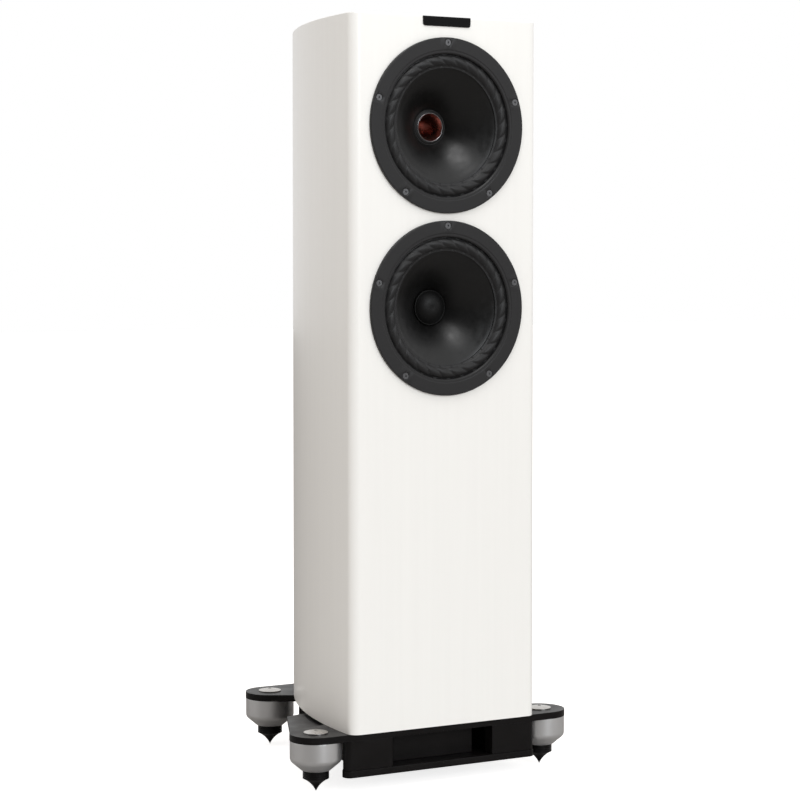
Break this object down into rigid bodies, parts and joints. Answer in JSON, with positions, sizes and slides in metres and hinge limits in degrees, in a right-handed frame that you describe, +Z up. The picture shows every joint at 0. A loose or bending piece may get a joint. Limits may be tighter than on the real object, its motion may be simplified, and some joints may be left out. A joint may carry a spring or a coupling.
{
  "type": "floorstanding speaker",
  "caption": "Tall white loudspeaker with curved sides, stacked coaxial and bass drivers, a black lugged plinth and adjustable spiked metal feet.",
  "frame": {"origin": "on the floor at the spike tips, under the middle of the whole outline", "axes": "+Z up, -Y out of the baffle towards the listener, +X to the right seen along +Y"},
  "size_m": [0.456, 0.414, 1.111],
  "materials": {
    "white_lacquer": "satin white lacquer on board",
    "raw_board": "bare fibreboard",
    "black_moulding": "moulded, fine grain",
    "badge_black": "gloss black, bare",
    "circuit_board": "solder mask",
    "copper_winding": "enamelled copper",
    "wadding": "loose wadding",
    "black_plinth": "satin black powder coat",
    "black_screw": "black oxide",
    "turned_aluminium": "turned and brushed",
    "satin_cap": "satin domed",
    "black_spike": "black plated steel",
    "rim_black": "satin black",
    "cast_chassis": "cast, black paint",
    "black_rubber": "matte",
    "black_cone": "coated paper pulp",
    "former_paper": "polyimide film",
    "spider_cloth": "impregnated cloth",
    "ferrite": "sintered",
    "plated_steel": "zinc plated",
    "throat_silver": "bright turned",
    "throat_copper": "polished",
    "post_metal": "plated",
    "knob_red": "moulded",
    "knob_black": "moulded"
  },
  "bodies": {
    "cabinet": {"front_baffle": "white_lacquer", "left_side_panel": "white_lacquer", "right_side_panel": "white_lacquer", "top_panel": "white_lacquer", "back_panel": "white_lacquer", "bottom_panel": "raw_board", "chamber_divider": "raw_board", "window_brace": "raw_board", "port_tube": "black_moulding", "terminal_plate": "black_moulding", "treble_cover": "black_moulding", "badge_plate": "badge_black", "crossover_board": "circuit_board", "crossover_parts": "copper_winding", "wadding_lining": "wadding", "plinth_top_plate": "black_plinth", "plinth_wall": "black_plinth", "bass_diffuser": "black_plinth", "plinth_base_plate": "black_plinth", "terminal_screws": "black_screw", "driver_screws": "black_screw", "plinth_bolts": "black_screw", "front_left_foot": "turned_aluminium", "front_right_foot": "turned_aluminium", "rear_left_foot": "turned_aluminium", "rear_right_foot": "turned_aluminium", "upper_trim_ring": "rim_black", "lower_trim_ring": "rim_black", "upper_chassis": "cast_chassis", "lower_chassis": "cast_chassis", "upper_surround": "black_rubber", "lower_surround": "black_rubber", "upper_spider": "spider_cloth", "lower_spider": "spider_cloth", "upper_magnet": "ferrite", "lower_magnet": "ferrite", "upper_yoke": "plated_steel", "lower_yoke": "plated_steel", "motor_front_plates": "plated_steel", "throat_ring": "throat_silver", "treble_throat": "throat_copper", "terminal_studs": "post_metal"},
    "upper_cone_assembly": {"upper_cone": "black_cone", "upper_voice_coil": "former_paper"},
    "lower_cone_assembly": {"lower_cone": "black_cone", "lower_voice_coil": "former_paper", "dust_cap": "black_cone"},
    "treble_dome_body": {"treble_dome": "throat_copper"},
    "front_left_adjuster_body": {"front_left_adjuster": "satin_cap"},
    "front_left_spike_body": {"front_left_spike": "black_spike"},
    "front_right_adjuster_body": {"front_right_adjuster": "satin_cap"},
    "front_right_spike_body": {"front_right_spike": "black_spike"},
    "rear_left_adjuster_body": {"rear_left_adjuster": "satin_cap"},
    "rear_left_spike_body": {"rear_left_spike": "black_spike"},
    "rear_right_adjuster_body": {"rear_right_adjuster": "satin_cap"},
    "rear_right_spike_body": {"rear_right_spike": "black_spike"},
    "upper_left_knob_body": {"upper_left_knob": "knob_red"},
    "upper_right_knob_body": {"upper_right_knob": "knob_black"},
    "lower_left_knob_body": {"lower_left_knob": "knob_red"},
    "lower_right_knob_body": {"lower_right_knob": "knob_black"}
  },
  "joints": [
    {"name": "upper_cone_slide", "type": "slide", "parent": "cabinet", "child": "upper_cone_assembly", "axis": [0, -1, 0], "range_m": [-0.006, 0.006], "stiffness_N_per_m": 2000, "deforming": ["upper_surround", "upper_spider"]},
    {"name": "lower_cone_slide", "type": "slide", "parent": "cabinet", "child": "lower_cone_assembly", "axis": [0, -1, 0], "range_m": [-0.006, 0.006], "stiffness_N_per_m": 2000, "deforming": ["lower_surround", "lower_spider"]},
    {"name": "treble_dome_slide", "type": "slide", "parent": "cabinet", "child": "treble_dome_body", "axis": [0, -1, 0], "range_m": [-0.0005, 0.0005], "stiffness_N_per_m": 400},
    {"name": "front_left_adjuster_turn", "type": "hinge", "parent": "cabinet", "child": "front_left_adjuster_body", "pos_m": [-0.19, -0.157, 0.084], "axis": [0, 0, 1], "range_deg": [0, 1440]},
    {"name": "front_left_spike_slide", "type": "slide", "parent": "cabinet", "child": "front_left_spike_body", "axis": [0, 0, -1], "range_m": [0, 0.006]},
    {"name": "front_right_adjuster_turn", "type": "hinge", "parent": "cabinet", "child": "front_right_adjuster_body", "pos_m": [0.19, -0.157, 0.084], "axis": [0, 0, 1], "range_deg": [0, 1440]},
    {"name": "front_right_spike_slide", "type": "slide", "parent": "cabinet", "child": "front_right_spike_body", "axis": [0, 0, -1], "range_m": [0, 0.006]},
    {"name": "rear_left_adjuster_turn", "type": "hinge", "parent": "cabinet", "child": "rear_left_adjuster_body", "pos_m": [-0.104, 0.169, 0.084], "axis": [0, 0, 1], "range_deg": [0, 1440]},
    {"name": "rear_left_spike_slide", "type": "slide", "parent": "cabinet", "child": "rear_left_spike_body", "axis": [0, 0, -1], "range_m": [0, 0.006]},
    {"name": "rear_right_adjuster_turn", "type": "hinge", "parent": "cabinet", "child": "rear_right_adjuster_body", "pos_m": [0.104, 0.169, 0.084], "axis": [0, 0, 1], "range_deg": [0, 1440]},
    {"name": "rear_right_spike_slide", "type": "slide", "parent": "cabinet", "child": "rear_right_spike_body", "axis": [0, 0, -1], "range_m": [0, 0.006]},
    {"name": "upper_left_knob_turn", "type": "hinge", "parent": "cabinet", "child": "upper_left_knob_body", "pos_m": [-0.019, 0.1733, 0.234], "axis": [0, 1, 0], "range_deg": [0, 1080]},
    {"name": "upper_right_knob_turn", "type": "hinge", "parent": "cabinet", "child": "upper_right_knob_body", "pos_m": [0.019, 0.1733, 0.234], "axis": [0, 1, 0], "range_deg": [0, 1080]},
    {"name": "lower_left_knob_turn", "type": "hinge", "parent": "cabinet", "child": "lower_left_knob_body", "pos_m": [-0.019, 0.1733, 0.196], "axis": [0, 1, 0], "range_deg": [0, 1080]},
    {"name": "lower_right_knob_turn", "type": "hinge", "parent": "cabinet", "child": "lower_right_knob_body", "pos_m": [0.019, 0.1733, 0.196], "axis": [0, 1, 0], "range_deg": [0, 1080]}
  ],
  "couplings": [
    {"joint": "front_left_adjuster_turn", "follows": "front_left_spike_slide", "rad_per_m": 4188.8},
    {"joint": "front_right_adjuster_turn", "follows": "front_right_spike_slide", "rad_per_m": 4188.8},
    {"joint": "rear_left_adjuster_turn", "follows": "rear_left_spike_slide", "rad_per_m": 4188.8},
    {"joint": "rear_right_adjuster_turn", "follows": "rear_right_spike_slide", "rad_per_m": 4188.8}
  ]
}
